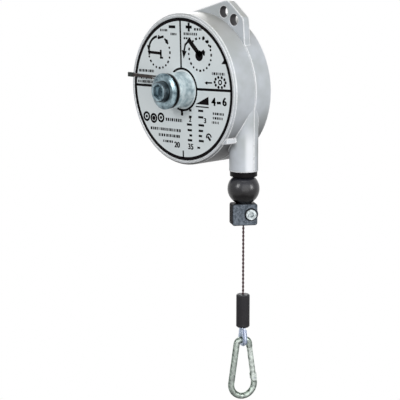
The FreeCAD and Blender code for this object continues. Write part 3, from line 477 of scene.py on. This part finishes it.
PLATE_LOW, PLATE_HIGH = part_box("label_plate")
PLATE = (PLATE_LOW + PLATE_HIGH) / 2
PLATE_RADIUS = (PLATE_HIGH.x - PLATE_LOW.x) / 2
INK_THICK = 0.06 * MM
INK_ROLL = math.radians(1.9)
DIAL_REACH, DIAL_MARKS = 20, 20
THICKER, BOLD = (-0.3, 0.3), (-0.5, 0, 0.5)  # where a number's copies lie, in millimetres
CHANCE = random.Random(11)


def around(angle):
    """The way at an angle in degrees, counted from the right."""
    return Vector((math.cos(math.radians(angle)), math.sin(math.radians(angle))))


def rolled(right, above):
    """A spot on the label in metres from the plate's centre, the print set slightly turned."""
    return Matrix.Rotation(INK_ROLL, 2) @ Vector((right, above)) * MM


class Print:
    """Black shapes on the label, drawn in millimetres right of and above the plate's centre."""

    def __init__(self, made):
        self.made = made

    def face(self, corners):
        """A flat shape with the ink's thickness."""
        spots = [rolled(*corner) for corner in corners]
        front, back = [[self.made.verts.new((PLATE.x + s.x, y, PLATE.z + s.y)) for s in spots]
                       for y in (PLATE_LOW.y - INK_THICK, PLATE_LOW.y + INK_THICK)]
        self.made.faces.new(front)
        self.made.faces.new(back[::-1])
        for k in range(len(spots)):
            n = (k + 1) % len(spots)
            self.made.faces.new((front[k], back[k], back[n], front[n]))

    def bar(self, start, end, width):
        """A straight stroke."""
        start, end = Vector(start), Vector(end)
        side = (end - start).normalized().orthogonal() * width / 2
        self.face([start - side, end - side, end + side, start + side])

    def arc(self, centre, radius, width, first=0, last=360, steps=None):
        """A ring, or the part of one between two angles."""
        steps = steps or max(4, int(abs(last - first) / 6))
        ways = [around(first + (last - first) * k / steps) for k in range(steps + 1)]
        inside, outside = radius - width / 2, radius + width / 2
        centre = Vector(centre)
        for near, far in zip(ways, ways[1:]):
            self.face([centre + near * inside, centre + far * inside,
                       centre + far * outside, centre + near * outside])

    def dot(self, centre, radius, corners=14):
        """A round spot."""
        self.face([Vector(centre) + radius * around(360 * k / corners) for k in range(corners)])

    def head(self, tip, angle, length, width):
        """An arrow head."""
        ahead = around(angle)
        side = ahead.orthogonal() * width / 2
        back = Vector(tip) - ahead * length
        self.face([Vector(tip), back + side, back - side])

    def out(self, centre, radius, angle):
        """The point at an angle on a circle."""
        return Vector(centre) + radius * around(angle)

    def dial(self, centre):
        """A ring of dots and dashes."""
        for k in range(DIAL_MARKS):
            angle = 360 * k / DIAL_MARKS
            if k % 3:
                self.dot(self.out(centre, DIAL_REACH, angle), 1.5)
            else:
                self.arc(centre, DIAL_REACH, 2.8, angle - 5, angle + 5)

    def line(self, left, height, length, thick):
        """A blank line of print: marks of uneven length."""
        end = left + length
        while left < end:
            mark = CHANCE.uniform(0.8, 3.2)
            self.bar((left, height), (min(left + mark, end), height), thick)
            left += mark + CHANCE.uniform(0.7, 1.5)

    def number(self, words, centre, height, shifts):
        """A plain number in the built-in typeface, made bolder by copies side by side."""
        curve = bpy.data.curves.new("number", "FONT")
        curve.body, curve.size, curve.extrude = words, height * MM, INK_THICK
        curve.align_x = curve.align_y = "CENTER"
        curve.offset = 0.02 * height * MM
        holder = bpy.data.objects.new("number", curve)
        upright = Matrix.Rotation(math.pi / 2, 4, "X") @ Matrix.Rotation(INK_ROLL, 4, "Z")
        for shift in shifts:
            mesh = bpy.data.meshes.new_from_object(holder)
            spot = rolled(centre[0] + shift, centre[1])
            place = Vector((PLATE.x + spot.x, PLATE_LOW.y, PLATE.z + spot.y))
            mesh.transform(Matrix.Translation(place) @ upright)
            self.made.from_mesh(mesh)
            bpy.data.meshes.remove(mesh)
        bpy.data.objects.remove(holder)


def draw_sectors(ink, edge, boss):
    """The rings at the plate's edge and round the boss, and the lines that part the quarters."""
    ink.arc((0, 0), edge, 4.2, steps=120)
    ink.arc((0, 0), boss, 2.8, -112, 127, steps=60)
    ink.bar((-1, boss), (-1, edge), 2.8)
    ink.bar((-1.5, -boss), (-1.5, -boss - 7), 4)
    ink.bar((-1, -edge), (-1, -edge + 10), 2.4)
    ink.bar((-edge, 1.8), (-boss, 2), 3.2)
    ink.bar((boss, 1.6), (edge, 2.6), 3.2)
    ink.head((71, 34.5), 205, 9, 8)


def draw_less(ink, centre):
    """The dial for slackening the spring: lever, arrow and minus."""
    x, y = centre
    ink.dial(centre)
    ink.arc(centre, DIAL_REACH, 3, 100, 160)
    ink.head(ink.out(centre, DIAL_REACH, 180), 265, 8, 7)
    ink.dot(ink.out(centre, DIAL_REACH, 44), 2.7)
    ink.bar((x - 2, y + 17.5), (x + 9, y + 20), 3)
    ink.bar((x - 20, y - 0.5), (x + 4, y - 1.5), 3.6)
    ink.bar((x - 19, y + 4), (x - 19, y - 4), 3)
    ink.bar((x + 3, y + 3), (x + 3, y - 8), 3.2)
    ink.bar((x + 1, y - 7), (x + 7, y - 7), 2.4)
    ink.bar((-22, 77.5), (-10, 77.5), 3.6)
    ink.line(-19, 68.5, 11, 3)
    ink.line(-38, 73, 13, 3)


def draw_more(ink, centre):
    """The dial for tightening the spring: spanner, arrow and plus."""
    x, y = centre
    ink.dial(centre)
    for angle, radius in ((71, 2.4), (49, 2.2), (29, 1.8)):
        ink.dot(ink.out(centre, DIAL_REACH + 1.5, angle), radius)
    ink.bar((x - 20.5, y + 18.5), (x + 1, y - 2), 6.2)
    ink.dot((x - 1.5, y - 1.5), 6.8)
    ink.bar((x - 1, y - 0.5), (x + 8, y + 4.5), 4.6)
    ink.bar((x + 8, y + 4.5), (x + 7, y - 1), 3)
    ink.bar((x - 20, y + 16), (x - 25.5, y + 11.5), 2.8)
    ink.bar((x - 25.5, y + 12.5), (x - 28.5, y + 3), 2.8)
    ink.head((x - 29.5, y - 6), 262, 10, 9)
    ink.bar((9, 78), (20, 78), 3.6)
    ink.bar((14.5, 72.5), (14.5, 83.5), 3.6)
    ink.line(5, 69.5, 24, 3.2)
    ink.line(24, 75.5, 14, 3)
    ink.line(5, 64, 12, 2.4)


def draw_lock(ink, x, y):
    """The drum lock: a toothed ring with a pin, and the way the lock's bolt goes."""
    ink.line(x - 14, y + 10.3, 23, 3.4)
    for k in range(10):
        tooth = around(36 * k)
        ink.dot((x + 9.5 * tooth.x, y + 6.3 * tooth.y), 1.9)
    ink.arc((x, y), 2.6, 1.8)
    ink.bar((x - 24, y - 1.6), (x - 14, y - 1.2), 2)
    ink.head((x - 27.5, y - 1.8), 180, 5, 5)


def draw_range(ink):
    """The load range: a rising wedge and its two ends."""
    ink.face([(24, -17), (47, -17), (47, -6.5)])
    ink.bar((24, -20), (47, -20), 1.6)
    ink.number("4", (56, -13), 14, BOLD)
    ink.number("6", (75, -12), 14, BOLD)
    ink.bar((61.5, -13.5), (68.5, -13.2), 3.2)


def draw_fields(ink):
    """The table: two columns of blank fields, their numbers and some blank print."""
    for height, left, right in ((-25.5, 4, 9), (-33.5, 5, 9), (-43.5, 9, 10), (-50.5, 8, 8),
                                (-57, 5, 6), (-63.2, 8, 9)):
        ink.bar((16 - left, height), (16, height), 2.8)
        ink.bar((28, height + 0.5), (28 + right, height + 0.5), 2.8)
    ink.number("2", (13, -37.5), 8, THICKER)
    ink.number("3", (40, -37), 9, THICKER)
    ink.bar((44, -56), (49, -61), 3)
    ink.arc((46, -57), 4, 2, 0, 200)
    for height, left, length in ((-27, 54, 20), (-32.5, 54, 17), (-38, 52, 12)):
        ink.line(left, height, length, 3)
    ink.number("20", (-12, -71), 10, THICKER)
    ink.number("35", (13, -71.5), 10, THICKER)
    ink.bar((25, -71.5), (30, -71.5), 2.4)


def draw_care(ink):
    """Three round signs, then blank print."""
    for centre, core in (((-68, -38), 2), ((-54.5, -39.5), 3), ((-41, -38), 2)):
        ink.arc(centre, 5, 2.8)
        ink.dot(centre, core)
    ink.line(-32, -39.5, 30, 4)
    ink.line(-61, -52.5, 57, 3.6)
    ink.line(-46, -60, 40, 3.6)
    ink.line(-38, -67.5, 19, 3)


def draw_label(made):
    ink = Print(made)
    draw_sectors(ink, edge=PLATE_RADIUS / MM - 2.4, boss=26)
    draw_less(ink, (-41, 45))
    draw_more(ink, (33.4, 44.7))
    # three blank lines below the slackening dial
    for height, left in ((20.5, -80), (11.5, -84), (6.6, -83)):
        ink.line(left, height, 28, 3.4)
    draw_lock(ink, 68, 12)
    draw_range(ink)
    draw_fields(ink)
    draw_care(ink)


# ---------------------------------------------------------------- cable

CABLE_RADIUS = (highest("cable_tail").x - lowest("cable_tail").x) / 2
CORE, BULGE, FLATNESS = 0.5, 0.12, 0.38  # shares of the radius
STRANDS, LAY = 4, 10 * MM
AROUND, TAIL_SPACING, RUN_RINGS = 32, 0.8 * MM, 1400  # how finely the mesh is divided


def straight(start, end, count):
    """Evenly spaced points from start to end."""
    return [start.lerp(end, k / count) for k in range(count + 1)]


def rope(made, path, turns):
    """Strands laid round each other down a straight path; turns[k] is the lay's angle there.

    The section is slightly flat, so that the rope looks beaded from the side.
    """
    depth = made.verts.layers.float.new("lay_depth")
    ahead = (path[-1] - path[0]).normalized()
    side = ahead.orthogonal().normalized()
    up = ahead.cross(side)
    rings = []
    for spot, turn in zip(path, turns):
        ring = []
        for n in range(AROUND):
            angle = math.tau * n / AROUND
            lobe = abs(math.cos(STRANDS * (angle - turn) / 2))
            flat = math.cos(angle - turn) ** 2
            reach = CABLE_RADIUS * (CORE + BULGE * lobe + FLATNESS * flat)
            vert = made.verts.new(spot + (side * math.cos(angle) + up * math.sin(angle)) * reach)
            vert[depth] = lobe
            ring.append(vert)
        rings.append(ring)
    for near, far in zip(rings, rings[1:]):
        for n in range(AROUND):
            m = (n + 1) % AROUND
            made.faces.new((near[n], near[m], far[m], far[n]))
    made.faces.new(rings[0][::-1])
    made.faces.new(rings[-1])


steel = strand_steel()
cable = middle("cable_tail")
clamp_foot = Vector((cable.x, cable.y, lowest("clamp_front").z))
ferrule_grip = Vector((cable.x, cable.y, lowest("cable_tail").z))
tail_path = straight(clamp_foot, ferrule_grip,
                     round((clamp_foot - ferrule_grip).length / TAIL_SPACING))
tail_turns = [math.tau * (spot - clamp_foot).length / LAY for spot in tail_path]
tail = smooth(new_piece("load_cable", lambda made: rope(made, tail_path, tail_turns),
                        steel, "load"))
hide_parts("cable_tail")

# The run inside the outlet tube draws out to the full travel, so its lay is wound to look even
# when it is out.
TRAVEL = JOINTS["load_slide"]["range_m"][1]
run_top = Vector((cable.x, cable.y, highest("cable_run").z))
run_end = Vector((cable.x, cable.y, lowest("cable_run").z))


def drawn_out(share):
    """How far from its top a point of the run lies once it is all drawn out."""
    follows = share * share * (3 - 2 * share)
    return (run_top.z - run_end.z) * share + TRAVEL * follows


run_path = straight(run_top, run_end, RUN_RINGS)
run_turns = [math.tau * drawn_out(k / RUN_RINGS) / LAY for k in range(RUN_RINGS + 1)]
run = smooth(new_piece("drum_cable", lambda made: rope(made, run_path, run_turns), steel, None))
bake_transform(run)
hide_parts("cable_run")

# ---------------------------------------------------------------- finishes on the parts

dress(cast_paint(), "front_housing", "rear_housing")
dress(printed_plate(), "label_plate")
dress(turned_zinc("collar_zinc", srgb(232, 244, 247), srgb(160, 182, 190),
                  rough=0.3, metallic=0.3), "boss_collar")
dress(turned_zinc("cap_zinc", srgb(164, 186, 194), srgb(66, 86, 96),
                  rough=0.22, metallic=0.6), "adjuster_cap")
dress(turned_zinc("shaft_steel", srgb(92, 118, 128), srgb(36, 50, 58),
                  rough=0.3, metallic=0.6), "arbor")
dress(plated("dark_steel", srgb(62, 52, 48), srgb(20, 17, 17), rough=0.42, metallic=0.5),
      "pawl_lever", "ratchet_wheel")
dress(plated("bright_steel", srgb(206, 214, 216), srgb(112, 120, 122),
             rough=0.34, metallic=0.6, blotch=3 * MM),
      "pawl_pin", "pawl_spring", "clamp_screw", "clamp_nut", "housing_screws", "gate_pin")
# For moulded parts the second colour serves both the scuffs and the dust and painted sheen on what looks up.
dress(moulded("black_grip", srgb(22, 30, 26), srgb(58, 62, 56), rough=0.45), "lever_grip")
dress(moulded("stop_rubber", srgb(3, 0, 1), srgb(76, 80, 92), rough=0.25, sheen=0.46),
      "bumper_ball")
dress(moulded("black_plastic", srgb(4, 2, 3), srgb(50, 50, 56), rough=0.36, sheen=0.08),
      "cable_guide")
dress(moulded("sleeve_rubber", srgb(46, 43, 46), srgb(120, 126, 128), rough=0.4, sheen=0.03),
      "cable_sleeve")
dress(clamp_casting(CLAMP_TURN, middle("clamp_nut")), "clamp_front", "clamp_rear")
dress(plated("thimble_zinc", srgb(218, 228, 246), srgb(186, 200, 222),
             rough=0.3, metallic=0.4), "thimble")
dress(plated("loop_zinc", srgb(212, 220, 238), srgb(150, 160, 182),
             rough=0.34, metallic=0.4, blotch=1.5 * MM), "cable_loop")
dress(hook_zinc("hook_zinc", srgb(156, 170, 159), srgb(34, 46, 38), painted_highlight_share=0.26),
      "carabiner_body")
dress(hook_zinc("gate_zinc", srgb(206, 216, 208), srgb(62, 76, 66), painted_highlight_share=0.45),
      "carabiner_gate")
dress(steel, "cable_wound")
dress(plated("cast_aluminium", srgb(178, 180, 180), srgb(146, 148, 150),
             rough=0.45, metallic=0.8), "drum", "spring_cover")
dress(plated("blue_steel", srgb(92, 104, 126), srgb(60, 66, 84), rough=0.34),
      "power_spring", "gate_spring")
dress(plated("bearing_bronze", srgb(186, 146, 86), srgb(140, 104, 58), rough=0.35),
      "drum_bush")
dress(plated("swaged_copper", srgb(178, 122, 92), srgb(128, 84, 62), rough=0.38),
      "cable_ferrule", "cable_anchor")

label_print = new_piece("label_print", draw_label, print_ink(), "housing")

# ---------------------------------------------------------------- camera

VIEW_TURN, VIEW_DOWN = 46.3, 10.7
AIM = Vector((-23.1, -40.7, -223.9)) * MM
DISTANCE = 2.05
LENS, SENSOR = 147.6, 36


def stand_off(holder, way, distance):
    """Puts a camera or lamp at a distance from the aim, looking back at it."""
    holder.location = AIM + way * distance
    holder.rotation_euler = (-way).to_track_quat("-Z", "Y").to_euler()
    bpy.context.scene.collection.objects.link(holder)


view = bpy.data.cameras.new("view")
view.lens, view.sensor_width = LENS, SENSOR
camera = bpy.data.objects.new("view", view)
stand_off(camera, heading(VIEW_TURN, VIEW_DOWN), DISTANCE)
bpy.context.scene.camera = camera

# ---------------------------------------------------------------- studio

def softbox(name, turn, rise, distance, width, height, power):
    """An area lamp that faces the part, placed by its direction seen from it."""
    lamp = bpy.data.lights.new(name, "AREA")
    lamp.shape, lamp.size, lamp.size_y, lamp.energy = "RECTANGLE", width, height, power
    stand_off(bpy.data.objects.new(name, lamp), heading(turn, rise), distance)


softbox("key", turn=62, rise=14, distance=1.8, width=1.8, height=1.6, power=17)
softbox("side", turn=108, rise=14, distance=1.8, width=0.5, height=0.7, power=12)
softbox("fill", turn=2, rise=26, distance=1.9, width=0.5, height=0.6, power=13.5)
softbox("top", turn=60, rise=76, distance=1.7, width=0.8, height=0.8, power=4)
softbox("back", turn=226, rise=20, distance=2.0, width=1.2, height=1.2, power=16)


class Surround(Finish):
    """The world's nodes, made in the same way as a material's."""

    def __init__(self, world):
        world.use_nodes = True
        self.tree = world.node_tree
        self.tree.nodes.clear()

    def sky(self, colour, strength):
        return self.add("ShaderNodeBackground", None, {"Color": colour, "Strength": strength})

    def blend(self, factor, first, second):
        """One shader or another, by a factor."""
        return self.add("ShaderNodeMixShader", None, {0: factor, 1: first, 2: second})

    def seen_white(self, shaded):
        """Plain white to camera, mirror and glass rays, and the shaded look to the rest."""
        rays = [self.add("ShaderNodeLightPath", output=f"Is {kind} Ray")
                for kind in ("Camera", "Glossy", "Transmission")]
        white = self.add("ShaderNodeEmission", None, {"Strength": 1.0})
        return self.blend((rays[0] + rays[1] + rays[2]).clamp(), shaded, white)


world = bpy.data.worlds.new("studio")
bpy.context.scene.world = world
surround = Surround(world)
low_sky = surround.sky((1, 0.96, 0.92, 1), 0.06)
high_sky = surround.sky((0.95, 0.98, 1, 1), 0.3)
high = surround.parts(surround.add("ShaderNodeTexCoord", output="Generated"))[2]
lit = surround.blend(high.step(-0.5, 0.6), low_sky, high_sky)
surround.add("ShaderNodeOutputWorld", None, {"Surface": surround.seen_white(lit)})

# The floor lies below the hook's lowest place, with the cable all drawn out.
FLOOR_DEPTH, FLOOR_SIZE = 0.3, 6.0
pale = Finish("pale_floor", roughness=0.9, base_color=(0.82, 0.82, 0.82, 1))
floor_level = cad_box[0][2] - TRAVEL - FLOOR_DEPTH
floor = new_piece("floor", lambda made: bmesh.ops.create_grid(
    made, x_segments=1, y_segments=1, size=FLOOR_SIZE / 2,
    matrix=Matrix.Translation((cable.x, cable.y, floor_level))), pale.material, None)

scene = bpy.context.scene
scene.view_settings.view_transform = "Standard"
